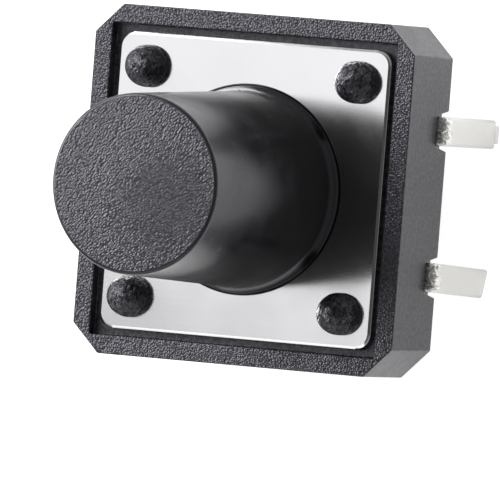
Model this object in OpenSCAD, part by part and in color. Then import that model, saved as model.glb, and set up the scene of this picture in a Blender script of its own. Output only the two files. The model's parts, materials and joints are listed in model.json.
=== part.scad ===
// Tactile push button switch with a tall round stem and four through-hole pins.
// Origin: centre of the housing's underside. +Z runs along the stem, X towards the pin rows.

/* [Housing] */
// Side length of the square housing
body_w = 12; // [11.6:0.1:13]
// Height from the underside to the top of the rim
body_h = 3.25; // [3.1:0.05:4]
// Leg of the 45 degree chamfer on the four upright corners
corner_leg = 1; // [0.6:0.1:1.1]
// Width of the rim round the cover plate
rim_w = 0.65; // [0.55:0.05:0.75]
// Plastic left between the switch chamber and the side of the plate's pocket
chamber_wall = 0.95; // [0.7:0.05:1.2]
// Plastic left over the terminals at the chamber floor
floor_cover = 0.1; // [0.05:0.05:0.15]
// Diameter of the holes left in the underside by the mould's core pins
core_hole_d = 1; // [0.6:0.1:1]
// Distance of those holes from the housing's side, along X
core_hole_inset = 1.5; // [1.2:0.1:1.8]
// Diameter of the shallow ejector marks in the underside
ejector_d = 1.6; // [1:0.1:2]
// Depth of the ejector marks
ejector_depth = 0.05; // [0.03:0.01:0.1]

/* [Cover plate] */
// Sheet thickness of the cover plate
plate_t = 0.3; // [0.2:0.05:0.4]
// Gap between the rim and the edge of the plate
plate_gap = 0.25; // [0.15:0.05:0.35]
// Depth of the plate's face below the rim
plate_recess = 0.1; // [0.05:0.05:0.2]
// Corner radius of the plate
plate_corner_r = 0.55; // [0.3:0.05:0.8]
// Radius of the rolled edge that punching leaves on the plate's face
plate_edge_r = 0.08; // [0.04:0.02:0.12]
// Radial gap between the shaft of the stem and the hole in the plate
stem_hole_gap = 0.22; // [0.18:0.01:0.3]

/* [Riveted posts] */
// Distance of each post from the two edges of the plate beside it
post_inset = 1.16; // [1:0.02:1.3]
// Diameter of a post where it passes through the plate
post_d = 1.1; // [0.9:0.05:1.15]
// Radial clearance of a post in its hole
post_gap = 0.05; // [0.03:0.01:0.1]
// Diameter of the melted head
head_d = 1.46; // [1.4:0.02:1.7]
// Height of the melted head above the plate
head_h = 0.93; // [0.8:0.05:1.2]

/* [Plunger] */
// Height of the stem's end face over the underside of the housing
button_h = 12; // [7:0.5:17]
// How much the stem's radius shrinks from its foot to its end face
stem_taper = 0.29; // [0.1:0.01:0.4]
// Radius of the edge round the end face
stem_edge_r = 0.09; // [0.05:0.01:0.2]
// Radial clearance of the collar at the foot of the stem in the plate's hole
collar_gap = 0.06; // [0.05:0.01:0.1]
// Height of the collar's edge above the face of the plate
collar_rise = 0.05; // [0.02:0.01:0.1]
// Radius of the hollow flare from the shaft out to the collar's edge
flare_r = 0.8; // [0.5:0.05:1.2]
// Radial clearance of the flange in the chamber
chamber_gap = 0.2; // [0.1:0.05:0.3]
// How far the flange stands out past the foot of the stem
flange_lip = 0.85; // [0.7:0.05:1.2]
// Height of the nub under the flange
nub_h = 0.28; // [0.2:0.02:0.4]
// Diameter of the nub that presses the dome
nub_d = 1.8; // [1.4:0.1:2.4]
// Distance that the plunger travels
travel = 0.3; // [0.2:0.05:0.35]
// Running clearance of the plunger against the plate and the dome
run_gap = 0.02; // [0.01:0.01:0.04]

/* [Snap dome] */
// Radial clearance of the dome in the chamber
dome_gap = 0.6; // [0.5:0.05:0.8]
// Height of the dome's crown over its rim
dome_rise = 0.5; // [0.42:0.02:0.56]
// Sheet thickness of the dome
dome_t = 0.08; // [0.06:0.01:0.1]

/* [Terminals] */
// Sheet thickness of the terminals
sheet_t = 0.3; // [0.2:0.05:0.35]
// Height of the sheet's lower face over the underside
sheet_z = 0.6; // [0.5:0.05:0.65]
// Width of a pin and of the strip that carries it
pin_w = 1; // [0.8:0.05:1.1]
// Spacing of the two pins on one side
pin_pitch = 5; // [4.8:0.1:5.2]
// Gap between the housing's side and the inner face of a pin
pin_gap = 0.1; // [0.08:0.01:0.2]
// Reach of the pins below the underside
pin_len = 3.45; // [3:0.05:4]
// Inner radius of the bend at the top of a pin
bend_r = 0.1; // [0.05:0.01:0.12]
// Radius of the coined long edges of a pin
coin_r = 0.12; // [0.05:0.01:0.13]
// Width of the tongue at the end of a pin
tip_w = 0.63; // [0.5:0.02:0.7]
// Length of the tongue
tip_len = 0.3; // [0.2:0.05:0.5]
// Lean of the front pin on the +X side, in degrees
lean = 2; // [0:0.5:3]
// Slant of that pin's sheared end, in degrees
shear_slant = 18; // [0:1:25]

/* [Contacts] */
// Diameter of the centre contact boss
centre_boss_d = 1.6; // [1.2:0.1:2]
// Width of the C-shaped outer contact
ring_w = 0.9; // [0.85:0.05:1]
// Diameter of the three outer bosses that carry the dome's rim
outer_boss_d = 0.8; // [0.6:0.05:0.85]
// Height of the outer bosses above the chamber floor
outer_boss_h = 0.1; // [0.05:0.01:0.15]
// Gap between the ends of the C-shaped contact and the strip beside them
ring_gap = 0.32; // [0.25:0.01:0.4]

/* [Pin notches] */
// Depth of the notch that lets a pin out of the housing's side
notch_depth = 0.25; // [0.15:0.05:0.35]
// Clearance over the strip in the notch
notch_head = 0.04; // [0.03:0.01:0.1]
// Clearance beside the strip at the top of the notch
notch_gap = 0.02; // [0.01:0.01:0.05]
// How much further each flank of the notch spreads at the underside
notch_flare = 0.18; // [0.1:0.02:0.25]

/* [Hidden] */

$fn = 64;
// Steps round the dome's whole sphere, fine because the dome is a small cap of it
dome_steps = 360;
black = "#2b2b2d";
steel = "#d9d9db";
tin = "#d4d3d0";
spring_steel = "#c3bba7";

// Overlap that keeps cuts clean where faces would coincide
eps = 0.01;

// Heights of the stack, from the underside up and from the rim down
sheet_top_z = sheet_z + sheet_t;
floor_z = sheet_top_z + floor_cover;
seat_z = floor_z + outer_boss_h;
dome_top_z = seat_z + dome_rise + dome_t;
centre_boss_z = seat_z + dome_rise - travel - run_gap;
nub_bottom_z = dome_top_z + run_gap;
flange_bottom_z = nub_bottom_z + nub_h;
plate_top_z = body_h - plate_recess;
deck_z = plate_top_z - plate_t;
flange_top_z = deck_z - run_gap;
collar_top_z = plate_top_z + collar_rise;

// Widths and diameters, from the outside of the housing inwards
pocket_w = body_w - 2 * rim_w;
plate_w = pocket_w - 2 * plate_gap;
chamber_d = pocket_w - 2 * chamber_wall;
flange_d = chamber_d - 2 * chamber_gap;
dome_d = chamber_d - 2 * dome_gap;
stem_foot_d = flange_d - 2 * flange_lip;
stem_top_d = stem_foot_d - 2 * stem_taper;
stem_hole_d = stem_foot_d + 2 * stem_hole_gap;
collar_lip = stem_hole_gap - collar_gap;

// Places of the posts, core pins and terminals
post_xy = plate_w / 2 - post_inset;
core_hole_x = body_w / 2 - core_hole_inset;
pin_x = body_w / 2 + pin_gap + sheet_t / 2;
pin_y = pin_pitch / 2;
bend_x = body_w / 2 + pin_gap - bend_r;
bend_z = sheet_z - bend_r;
notch_top_z = sheet_top_z + notch_head;

// The C-shaped contact carries the dome's rim on the outer halves of its bosses
ring_r = dome_d / 2 - outer_boss_d / 4;
ring_end_y = pin_y - (pin_w + ring_w) / 2 - ring_gap;
ring_wrap = asin(ring_end_y / ring_r);
boss_angles = [90, 180 + ring_wrap, -ring_wrap];

// Length of strip inside the notch that follows a leaning pin
stub = notch_depth * 0.8;

// Dome as a cap of two spheres that share a centre
dome_r = (pow(dome_d / 2, 2) + pow(dome_rise, 2)) / (2 * dome_rise);
dome_centre_z = seat_z + dome_rise - dome_r;

// Rectangle with rounded corners, centred
module rounded_rect(w, h, r) {
    square([w - 2 * r, h], center = true);
    square([w, h - 2 * r], center = true);
    for (x = [-1, 1], y = [-1, 1])
        translate([x * (w / 2 - r), y * (h / 2 - r)]) circle(r = r);
}

// The four corners of a square, for its children
module at_corners(offset_xy) {
    for (x = [-1, 1], y = [-1, 1])
        translate([x * offset_xy, y * offset_xy, 0]) children();
}

// Outline of the housing with its four chamfers
module housing_outline() {
    half = body_w / 2;
    near = half - corner_leg;
    polygon([
        [half, -near], [half, near], [near, half], [-near, half],
        [-half, near], [-half, -near], [-near, -half], [near, -half]
    ]);
}

// Post with its melted, domed head
module riveted_post() {
    neck_h = head_h - head_d / 2;
    translate([0, 0, deck_z - eps]) cylinder(d = post_d, h = plate_t + 2 * eps);
    translate([0, 0, plate_top_z]) {
        cylinder(d = head_d, h = neck_h);
        rotate_extrude()
            translate([0, neck_h]) intersection() {
                circle(d = head_d);
                square(head_d / 2);
            }
    }
}

// Space under the strip where a pin leaves the housing's side at +X
module pin_notch() {
    top = pin_w / 2 + notch_gap;
    low = top + notch_flare;
    translate([body_w / 2 - notch_depth, 0, 0])
        rotate([90, 0, 90])
            linear_extrude(notch_depth + eps)
                polygon([[-low, -eps], [low, -eps], [top, notch_top_z], [-top, notch_top_z]]);
}

// Holes left by the core pins that held the terminals in the mould
module core_holes() {
    for (x = [-1, 1], y = [-1, 1])
        translate([x * core_hole_x, y * pin_y, -eps]) cylinder(d = core_hole_d, h = sheet_z + eps);
}

module ejector_marks() {
    at_corners(post_xy)
        translate([0, 0, -eps]) cylinder(d = ejector_d, h = ejector_depth + eps);
}

module housing() {
    color(black) {
        difference() {
            linear_extrude(body_h) housing_outline();
            translate([-pocket_w / 2, -pocket_w / 2, deck_z]) cube([pocket_w, pocket_w, body_h]);
            translate([0, 0, floor_z]) cylinder(d = chamber_d, h = body_h);
            outer_sheet();
            centre_sheet();
            outer_bosses(0);
            centre_boss(0);
            for (x = [0, 1], y = [-1, 1])
                mirror([x, 0, 0]) translate([0, y * pin_y, 0]) pin_notch();
            core_holes();
            ejector_marks();
        }
        at_corners(post_xy) riveted_post();
    }
}

// Section through the border of a sheet, its upper edge rolled by the punch
module rolled_section(reach, t, edge_r) {
    intersection() {
        union() {
            square([reach, t - edge_r]);
            square([reach - edge_r, t]);
            translate([reach - edge_r, t - edge_r]) circle(r = edge_r);
        }
        square([reach, t]);
    }
}

// Square sheet with rounded corners whose upper edge is rolled all the way round
module rolled_sheet(w, t, corner_r, edge_r) {
    inner = w - 2 * corner_r;
    translate([-inner / 2, -inner / 2, 0]) cube([inner, inner, t]);
    for (a = [0, 90, 180, 270])
        rotate(a)
            translate([inner / 2, inner / 2, 0]) {
                rotate_extrude(angle = 90) rolled_section(corner_r, t, edge_r);
                rotate([90, 0, 0]) linear_extrude(inner) rolled_section(corner_r, t, edge_r);
            }
}

module cover_plate() {
    color(steel)
        translate([0, 0, deck_z])
            difference() {
                rolled_sheet(plate_w, plate_t, plate_corner_r, plate_edge_r);
                translate([0, 0, -eps]) cylinder(d = stem_hole_d, h = plate_t + 2 * eps);
                at_corners(post_xy)
                    translate([0, 0, -eps])
                        cylinder(d = post_d + 2 * post_gap, h = plate_t + 2 * eps);
            }
}

// Half section of the stem, with its rounded end, and its foot flared out to the collar
module stem_section() {
    top_r = stem_top_d / 2;
    foot_r = stem_foot_d / 2;
    flare_top_z = collar_top_z + sqrt(pow(flare_r, 2) - pow(flare_r - collar_lip, 2));
    difference() {
        union() {
            polygon([
                [0, flange_top_z - eps], [foot_r, flange_top_z - eps], [foot_r, flare_top_z],
                [top_r, button_h - stem_edge_r], [top_r - stem_edge_r, button_h - stem_edge_r],
                [top_r - stem_edge_r, button_h], [0, button_h]
            ]);
            translate([top_r - stem_edge_r, button_h - stem_edge_r]) circle(r = stem_edge_r);
            translate([0, flange_top_z - eps])
                square([foot_r + collar_lip, flare_top_z - flange_top_z + eps]);
        }
        translate([foot_r + flare_r, flare_top_z]) circle(r = flare_r);
    }
}

module plunger() {
    color(black) {
        rotate_extrude() stem_section();
        translate([0, 0, flange_bottom_z]) cylinder(d = flange_d, h = flange_top_z - flange_bottom_z);
        translate([0, 0, nub_bottom_z]) cylinder(d = nub_d, h = nub_h + eps);
    }
}

module snap_dome() {
    color(spring_steel)
        rotate_extrude()
            intersection() {
                translate([0, dome_centre_z])
                    difference() {
                        circle(r = dome_r + dome_t, $fn = dome_steps);
                        circle(r = dome_r, $fn = dome_steps);
                    }
                translate([0, seat_z]) square([dome_d / 2, 2 * dome_rise]);
            }
}

// Section of a pin: the sheet with its long edges coined round
module pin_section() {
    rounded_rect(sheet_t, pin_w, min(coin_r, sheet_t / 2 - eps));
}

// One pin at +X: the strip's end, the bend and the leg, all on the line Y = 0
module pin_leg(leg_end_z) {
    translate([bend_x, 0, bend_z])
        rotate([90, 0, 0])
            rotate_extrude(angle = 90)
                translate([bend_r + sheet_t / 2, 0]) pin_section();
    translate([pin_x, 0, leg_end_z]) linear_extrude(bend_z - leg_end_z) pin_section();
}

// Leg with a square shoulder and a narrower tongue at its end
module straight_pin() {
    pin_leg(tip_len - pin_len);
    translate([pin_x, 0, -pin_len])
        linear_extrude(tip_len + eps) square([sheet_t, tip_w], center = true);
}

// Pin that leans a little, from the notch outwards, and ends in a slanted, sheared edge
module leaning_pin() {
    difference() {
        translate([0, 0, bend_z])
            rotate([-lean, 0, 0])
                translate([0, 0, -bend_z]) {
                    pin_leg(-pin_len - tip_len);
                    translate([bend_x - stub, 0, sheet_z + sheet_t / 2])
                        rotate([0, 90, 0]) linear_extrude(stub) pin_section();
                }
        translate([pin_x, pin_w / 2 - (bend_z + pin_len) * sin(lean), -pin_len])
            rotate([-shear_slant, 0, 0])
                translate([-pin_w, -3 * pin_w, -2 * pin_w])
                    cube([2 * pin_w, 4 * pin_w, 2 * pin_w]);
    }
}

// Straight run of strip between the two bends of one terminal
module strip() {
    translate([-bend_x, -pin_w / 2, sheet_z]) cube([2 * bend_x, pin_w, sheet_t]);
}

// C-shaped contact under the rim of the dome, open towards -Y
module ring_outline() {
    cut = ring_r + ring_w;
    difference() {
        circle(r = ring_r + ring_w / 2);
        circle(r = ring_r - ring_w / 2);
        polygon([
            [0, 0], [cut * cos(ring_wrap), -cut * sin(ring_wrap)], [cut, -2 * cut],
            [-cut, -2 * cut], [-cut * cos(ring_wrap), -cut * sin(ring_wrap)]
        ]);
    }
    for (side = [-1, 1])
        translate([side * ring_r * cos(ring_wrap), -ring_r * sin(ring_wrap)])
            circle(d = ring_w);
}

// Strip and C-shaped contact as one sheet, filled in between them
module outer_sheet() {
    translate([0, pin_y, 0]) strip();
    translate([0, 0, sheet_z])
        linear_extrude(sheet_t) {
            ring_outline();
            intersection() {
                circle(r = ring_r);
                translate([-ring_r, pin_y]) square([2 * ring_r, ring_r]);
            }
        }
}

// Bosses that stand through the chamber floor, their feet a little inside the sheet
module outer_bosses(overlap) {
    for (a = boss_angles)
        rotate(a)
            translate([ring_r, 0, sheet_top_z - overlap])
                cylinder(d = outer_boss_d, h = seat_z - sheet_top_z + overlap);
}

module centre_sheet() {
    tongue = pin_y - pin_w / 2 + eps;
    translate([0, -pin_y, 0]) strip();
    translate([-pin_w / 2, -tongue, sheet_z]) cube([pin_w, tongue, sheet_t]);
    translate([0, 0, sheet_z]) cylinder(d = centre_boss_d, h = sheet_t);
}

module centre_boss(overlap) {
    translate([0, 0, sheet_top_z - overlap])
        cylinder(d = centre_boss_d, h = centre_boss_z - sheet_top_z + overlap);
}

module terminal_outer() {
    color(tin) {
        outer_sheet();
        outer_bosses(eps);
        for (side = [0, 1])
            translate([0, pin_y, 0]) mirror([side, 0, 0]) straight_pin();
    }
}

module terminal_centre() {
    color(tin) {
        centre_sheet();
        centre_boss(eps);
        translate([0, -pin_y, 0]) {
            leaning_pin();
            mirror([1, 0, 0]) straight_pin();
        }
    }
}

housing();
cover_plate();
plunger();
snap_dome();
terminal_outer();
terminal_centre();
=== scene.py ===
"""Looks of a tall tactile push button switch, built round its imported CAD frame.

Every mesh is made in millimetres in the frame's own axes: +Z runs along the stem, X points at the
two rows of pins, and Z = 0 is the housing's underside. A mesh is scaled to metres once, when its
piece is placed on its body.
"""

import json
import logging
import math
from dataclasses import dataclass
from enum import Enum
from typing import Any

import bmesh
import bpy
from bpy.types import Material, Mesh, Node, NodeSocket, NodeTree, Object
from mathutils import Matrix, Vector

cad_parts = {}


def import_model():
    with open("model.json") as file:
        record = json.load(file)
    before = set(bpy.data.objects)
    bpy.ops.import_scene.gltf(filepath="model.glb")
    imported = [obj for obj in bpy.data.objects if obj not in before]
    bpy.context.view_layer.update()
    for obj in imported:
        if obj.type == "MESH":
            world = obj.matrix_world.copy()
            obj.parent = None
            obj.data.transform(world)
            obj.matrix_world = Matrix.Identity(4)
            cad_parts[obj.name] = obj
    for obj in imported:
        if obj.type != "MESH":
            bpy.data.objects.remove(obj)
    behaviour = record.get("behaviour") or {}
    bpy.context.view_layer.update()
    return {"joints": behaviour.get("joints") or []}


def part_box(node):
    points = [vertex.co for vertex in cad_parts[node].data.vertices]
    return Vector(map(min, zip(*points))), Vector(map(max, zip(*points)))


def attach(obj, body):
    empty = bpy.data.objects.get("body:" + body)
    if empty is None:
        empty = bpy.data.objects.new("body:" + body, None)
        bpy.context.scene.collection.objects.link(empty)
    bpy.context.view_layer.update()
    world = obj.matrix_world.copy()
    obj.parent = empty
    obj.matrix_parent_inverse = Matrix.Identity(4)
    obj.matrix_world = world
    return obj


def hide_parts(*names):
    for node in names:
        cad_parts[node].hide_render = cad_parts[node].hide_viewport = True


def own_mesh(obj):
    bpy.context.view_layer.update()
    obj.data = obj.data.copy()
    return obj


LOG = logging.getLogger("push_button_switch")
MM = 0.001
# In millimetres: points this close become one, and faces this close count as level
WELD = 1e-4
LEVEL = 1e-3
# How far a cutting solid stands past the solid that it cuts, in millimetres
PROUD = 0.1
# Distance from the middle to each strip and its two pins, along Y, in millimetres
PIN_ROW = 2.5
# Refractive index of nylon and acetal
PLASTIC_IOR = 1.53
Point = tuple[float, float]
Inputs = dict[str | int, Any] | None


# Nodes


class Graph:
    """A material, world or geometry tree that is being filled with nodes."""

    def __init__(self, tree: NodeTree) -> None:
        """Empty the tree."""
        self.tree = tree
        tree.nodes.clear()

    def node(self, kind: str, inputs: Inputs = None, **settings: Any) -> Node:
        """Add one node.

        Args:
            kind: Blender's identifier of the node.
            inputs: A value, or an output socket to link, for each input by name or index.
            settings: The node's own properties.

        Returns:
            The new node.
        """
        node = self.tree.nodes.new(kind)
        for name, value in settings.items():
            setattr(node, name, value)
        for key, value in (inputs or {}).items():
            if isinstance(value, NodeSocket):
                self.tree.links.new(value, node.inputs[key])
            else:
                node.inputs[key].default_value = value
        return node

    def add(self, kind: str, inputs: Inputs = None, **settings: Any) -> NodeSocket:
        """Add one node and return its first output."""
        return self.node(kind, inputs, **settings).outputs[0]

    def sum_of(self, first: Any, second: Any, operation: str = "ADD") -> NodeSocket:
        """Return the result of a sum of two numbers or sockets."""
        return self.add("ShaderNodeMath", {0: first, 1: second}, operation=operation)

    def vector_sum(self, first: Any, second: Any, operation: str = "ADD") -> NodeSocket:
        """Return the result of a sum of two vectors or sockets."""
        return self.add("ShaderNodeVectorMath", {0: first, 1: second}, operation=operation)

    def scaled(self, vector: NodeSocket, factor: NodeSocket) -> NodeSocket:
        """Return a vector times a number."""
        return self.add("ShaderNodeVectorMath", {0: vector, "Scale": factor}, operation="SCALE")

    def ramp(self, value: NodeSocket, start: Point, end: tuple[Any, Any] = (0.0, 1.0)) -> NodeSocket:
        """Blend from one number to another while a value climbs.

        Args:
            value: The climbing value.
            start: The value at both ends of the climb.
            end: The results there, numbers or sockets, which also hold beyond the ends.

        Returns:
            The result.
        """
        ends = dict(zip(("From Min", "From Max", "To Min", "To Max"), (*start, *end)))
        return self.add("ShaderNodeMapRange", {"Value": value, **ends})

    def surface_point(self) -> NodeSocket:
        """Return the place on the surface, in metres along the object's axes."""
        return self.node("ShaderNodeTexCoord").outputs["Object"]


def linear(colour: str) -> tuple[float, float, float, float]:
    """Turn an sRGB hex colour into linear red, green, blue and alpha.

    Args:
        colour: Six hex digits after a #.

    Returns:
        The four linear values.
    """
    parts = [int(colour[i : i + 2], 16) / 255 for i in (1, 3, 5)]
    low, power = 0.04045, 2.4
    values = [c / 12.92 if c <= low else ((c + 0.055) / 1.055) ** power for c in parts]
    return (*values, 1.0)


# Finishes


@dataclass(frozen=True)
class Grain:
    """Relief of a surface: the size of its grain along three axes, its turn and its depth.

    Attributes:
        size: Grain size along X, Y and Z after the turn, in millimetres.
        depth: Height of the relief in millimetres.
        turn: Angle about Z between the frame's X axis and the grain's, in degrees.
        pebbled: Whether the grain is a bed of round pebbles, not a noise.
        rounding: How far neighbouring pebbles run together.
        noise: Layers of finer noise, and how strong each is beside the one before.
    """

    size: tuple[float, float, float]
    depth: float
    turn: float = 0.0
    pebbled: bool = False
    rounding: float = 0.35
    noise: Point = (2.0, 0.55)

    def place(self, graph: Graph) -> NodeSocket:
        """Add nodes that measure the surface in grains, and return that vector."""
        return graph.add(
            "ShaderNodeMapping",
            {
                "Vector": graph.surface_point(),
                "Rotation": (0, 0, math.radians(self.turn)),
                "Scale": tuple(side * MM for side in self.size),
            },
            vector_type="TEXTURE",
        )

    def height(self, graph: Graph) -> NodeSocket:
        """Add the grain and return its height output, about 0 to 1."""
        inputs = {"Vector": self.place(graph), "Scale": 1.0}
        if self.pebbled:
            inputs["Smoothness"] = self.rounding
            cells = graph.node("ShaderNodeTexVoronoi", inputs, feature="SMOOTH_F1")
            return graph.sum_of(1.0, cells.outputs["Distance"], "SUBTRACT")
        inputs["Detail"], inputs["Roughness"] = self.noise
        return graph.add("ShaderNodeTexNoise", inputs)

    def facets(self, graph: Graph) -> NodeSocket:
        """Add cells as large as the grain and return a random vector for each."""
        cells = graph.node("ShaderNodeTexVoronoi", {"Vector": self.place(graph), "Scale": 1.0})
        return graph.vector_sum(cells.outputs["Color"], (0.5, 0.5, 0.5), "SUBTRACT")


@dataclass(frozen=True)
class Finish:
    """A surface finish: what the material is and how it was made.

    Attributes:
        name: Common name of the material and of its surface.
        colour: sRGB hex colour.
        roughness: Lowest and highest roughness, which patches of the surface take.
        patch: Size of those patches in millimetres.
        grain: Relief of the surface.
        metallic: 1 for a bare metal, else 0.
        pit_shade: sRGB hex colour of painted shade, laid on the relief's low places where less light
            reaches.
        glints: How far the grain's facets tilt, as a share of the surface normal.
        gloss: sRGB hex colour of a plastic's gloss, a little blue on black plastic.
        patch_limits: Heights of the patches' noise between which the roughness climbs.
        pit_shade_limits: Heights of the relief between which that painted shade gives way to the
            colour.
    """

    name: str
    colour: str
    roughness: Point
    patch: float
    grain: Grain
    metallic: float = 0.0
    pit_shade: str = ""
    glints: float = 0.0
    gloss: str = "#f4f4ff"
    patch_limits: Point = (0.3, 0.7)
    pit_shade_limits: Point = (0.38, 0.62)

    def material(self) -> Material:
        """Make the material when it is first asked for, and return the same one after that."""
        made = bpy.data.materials.get(self.name)
        if made is None:
            made = bpy.data.materials.new(self.name)
            made.use_nodes = True
            self.build(Graph(made.node_tree))
            made.diffuse_color = linear(self.colour)
        return made

    def build(self, graph: Graph) -> None:
        """Add the finish's nodes to an empty material tree."""
        height = self.grain.height(graph)
        strength = self.strength(graph)
        depth = self.grain.depth * MM
        relief = graph.add(
            "ShaderNodeBump", {"Height": height, "Distance": depth, "Strength": strength}
        )
        patches = Grain((self.patch,) * 3, 0.0).height(graph)
        settings = {
            # Painted shade: a finish with a pit colour darkens its relief's low places in the base
            # colour
            "Base Color": self.pit_shaded_colour(graph, height) if self.pit_shade else linear(self.colour),
            "Metallic": self.metallic,
            "Roughness": graph.ramp(patches, self.patch_limits, self.roughness),
            "Normal": self.tilt(graph, relief, strength),
        }
        if not self.metallic:
            settings["IOR"] = PLASTIC_IOR
            settings["Specular Tint"] = linear(self.gloss)
        shader = graph.add("ShaderNodeBsdfPrincipled", settings)
        graph.node("ShaderNodeOutputMaterial", {"Surface": shader})

    def pit_shaded_colour(self, graph: Graph, height: NodeSocket) -> NodeSocket:
        """Add nodes that paint shade into the low places of the relief, and return the colour
        output.
        """
        rise = graph.ramp(height, self.pit_shade_limits)
        colours = {0: rise, 6: linear(self.pit_shade), 7: linear(self.colour)}
        return graph.node("ShaderNodeMix", colours, data_type="RGBA").outputs[2]

    def tilt(self, graph: Graph, normal: NodeSocket, strength: Any) -> NodeSocket:
        """Tilt the normal from facet to facet, which makes the grain glitter.

        Args:
            graph: Material tree that gets the nodes.
            normal: Normal output of the relief.
            strength: How much of the relief shows, a number or an output.

        Returns:
            The normal output, unchanged where the finish has no glints.
        """
        if not self.glints:
            return normal
        share = graph.sum_of(strength, self.glints, "MULTIPLY")
        leant = graph.vector_sum(normal, graph.scaled(self.grain.facets(graph), share))
        return graph.add("ShaderNodeVectorMath", {0: leant}, operation="NORMALIZE")

    def strength(self, graph: Graph) -> float | NodeSocket:
        """Return how much of the relief shows, the same all over unless a finish says otherwise."""
        return 1.0


@dataclass(frozen=True)
class RootedFinish(Finish):
    """A finish whose relief is strong above one height and fades out below it.

    Attributes:
        root: Height in millimetres where the relief is full.
        clear: Height in millimetres where it has faded.
        faded: Share of the relief that is left there.
    """

    root: float = 0.0
    clear: float = 0.0
    faded: float = 0.1

    def strength(self, graph: Graph) -> NodeSocket:
        """Add nodes that turn the height over the underside into the relief's strength."""
        height = graph.node("ShaderNodeSeparateXYZ", {0: graph.surface_point()}).outputs["Z"]
        return graph.ramp(height, (self.clear * MM, self.root * MM), (self.faded, 1.0))


@dataclass(frozen=True)
class WornFinish(Finish):
    """A finish whose relief is worn down round one spot.

    Attributes:
        spot: Middle of the worn place, in millimetres.
        smooth: Distance from the spot where the relief begins to grow.
        fresh: Distance where it is full again.
        worn: Share of the relief that is left on the spot.
    """

    spot: tuple[float, float, float] = (0.0, 0.0, 0.0)
    smooth: float = 1.0
    fresh: float = 3.0
    worn: float = 0.3

    def strength(self, graph: Graph) -> NodeSocket:
        """Add nodes that turn the distance from the worn spot into the relief's strength."""
        ends = {0: graph.surface_point(), 1: tuple(side * MM for side in self.spot)}
        away = graph.node("ShaderNodeVectorMath", ends, operation="DISTANCE").outputs["Value"]
        return graph.ramp(away, (self.smooth * MM, self.fresh * MM), (self.worn, 1.0))


# Glass-filled nylon against a spark-eroded mould face: a coarse grain that glitters in raking light
ERODED_NYLON = Finish(
    "glass_filled_nylon_spark_eroded",
    "#4a4a50",
    (0.26, 0.34),
    0.9,
    Grain((0.075,) * 3, 0.026, pebbled=True),
    # Painted shade in the grain's low places
    pit_shade="#303034",
    glints=0.2,
)
# The same nylon against a plain milled mould wall: an even, slightly soft grey gloss
PLAIN_NYLON = Finish(
    "glass_filled_nylon_plain",
    "#424246",
    (0.26, 0.34),
    1.5,
    Grain((0.14,) * 3, 0.008),
    # Painted shade in the faint grain's low places
    pit_shade="#161618",
)
# Nylon post melted into a head under a hot punch: glossier, with a crumpled, pebbled skin
MELTED_NYLON = Finish(
    "glass_filled_nylon_melted",
    "#3e3e44",
    (0.18, 0.26),
    0.4,
    Grain((0.17, 0.11, 0.11), 0.06, turn=60),
    # Painted shade in the crumpled skin's low places
    pit_shade="#0c0c0e",
    glints=0.45,
)
# Acetal button face, lightly etched: fine grain whose strokes run across the face on the diagonal
ETCHED_ACETAL = WornFinish(
    "acetal_etched",
    "#48484c",
    (0.22, 0.3),
    0.8,
    Grain((0.09, 0.062, 0.08), 0.032, turn=45, pebbled=True),
    # Painted shade in the grain's low places
    pit_shade="#36363a",
    glints=0.12,
    spot=(1.0, -0.5, 12.0),
    smooth=1.0,
    fresh=3.4,
    worn=0.4,
)
# The same acetal on the rounded edge of the end face: smooth and darker than the face
ROUNDED_ACETAL = Finish(
    "acetal_rounded_edge", "#2a2a2d", (0.22, 0.3), 0.8, Grain((0.08,) * 3, 0.004)
)
# Acetal drawn out of a polished bore: glossy, with faint lines along the stem
DRAWN_ACETAL = Finish(
    "acetal_polished_bore", "#101012", (0.2, 0.28), 1.2, Grain((0.12, 0.12, 4.0), 0.0015)
)
# Bright cold-rolled stainless sheet: a soft mirror with hardly visible rolling lines
BRIGHT_STAINLESS = Finish(
    "stainless_sheet_bright", "#dedddf", (0.1, 0.15), 2.5, Grain((6.0, 0.15, 0.15), 0.0002), 1.0
)
# Hard-rolled stainless spring strip, yellower and duller than the cover
SPRING_STAINLESS = Finish(
    "stainless_spring_strip", "#cfc8b8", (0.2, 0.3), 1.0, Grain((2.0, 0.05, 0.05), 0.0006), 1.0
)
# Matt tin over brass strip: an even pale grey, pebbled at the bend where the plating stretched
MATT_TIN = RootedFinish(
    "tin_plate_matt",
    "#dcdbd8",
    (0.3, 0.4),
    0.5,
    Grain((0.055,) * 3, 0.014),
    1.0,
    glints=0.5,
    root=0.55,
    clear=0.35,
    faded=0.02,
)


# Meshes, in millimetres


def add_object(name: str, mesh: Mesh) -> Object:
    """Link a new object with a mesh into the scene and return it."""
    made = bpy.data.objects.new(name, mesh)
    bpy.context.scene.collection.objects.link(made)
    return made


def from_bmesh(name: str, bm: bmesh.types.BMesh) -> Object:
    """Turn a bmesh into a new mesh object, and free it."""
    mesh = bpy.data.meshes.new(name)
    bm.to_mesh(mesh)
    bm.free()
    return add_object(name, mesh)


def settle(obj: Object) -> None:
    """Replace an object's mesh by what its modifiers make of it, and remove them."""
    evaluated = obj.evaluated_get(bpy.context.evaluated_depsgraph_get())
    mesh = bpy.data.meshes.new_from_object(evaluated)
    obj.modifiers.clear()
    obj.data = mesh


def arc(centre: Point, radius: float, start: float, end: float, steps: int) -> list[Point]:
    """Return points on an arc of a profile.

    Args:
        centre: Radius and height of the arc's centre.
        radius: Radius of the arc.
        start: Angle of the first point in degrees, 0 pointing away from the axis.
        end: Angle of the last point in degrees.
        steps: Number of stretches between the points.

    Returns:
        The points, both ends included.
    """
    angles = (math.radians(start + (end - start) * i / steps) for i in range(steps + 1))
    return [(centre[0] + radius * math.cos(a), centre[1] + radius * math.sin(a)) for a in angles]


def circle(radius: float, count: int, centre: Point = (0.0, 0.0)) -> list[Point]:
    """Return the corners of a polygon that stands for a circle, counter-clockwise."""
    return arc(centre, radius, 0, 360, count)[:-1]


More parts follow.
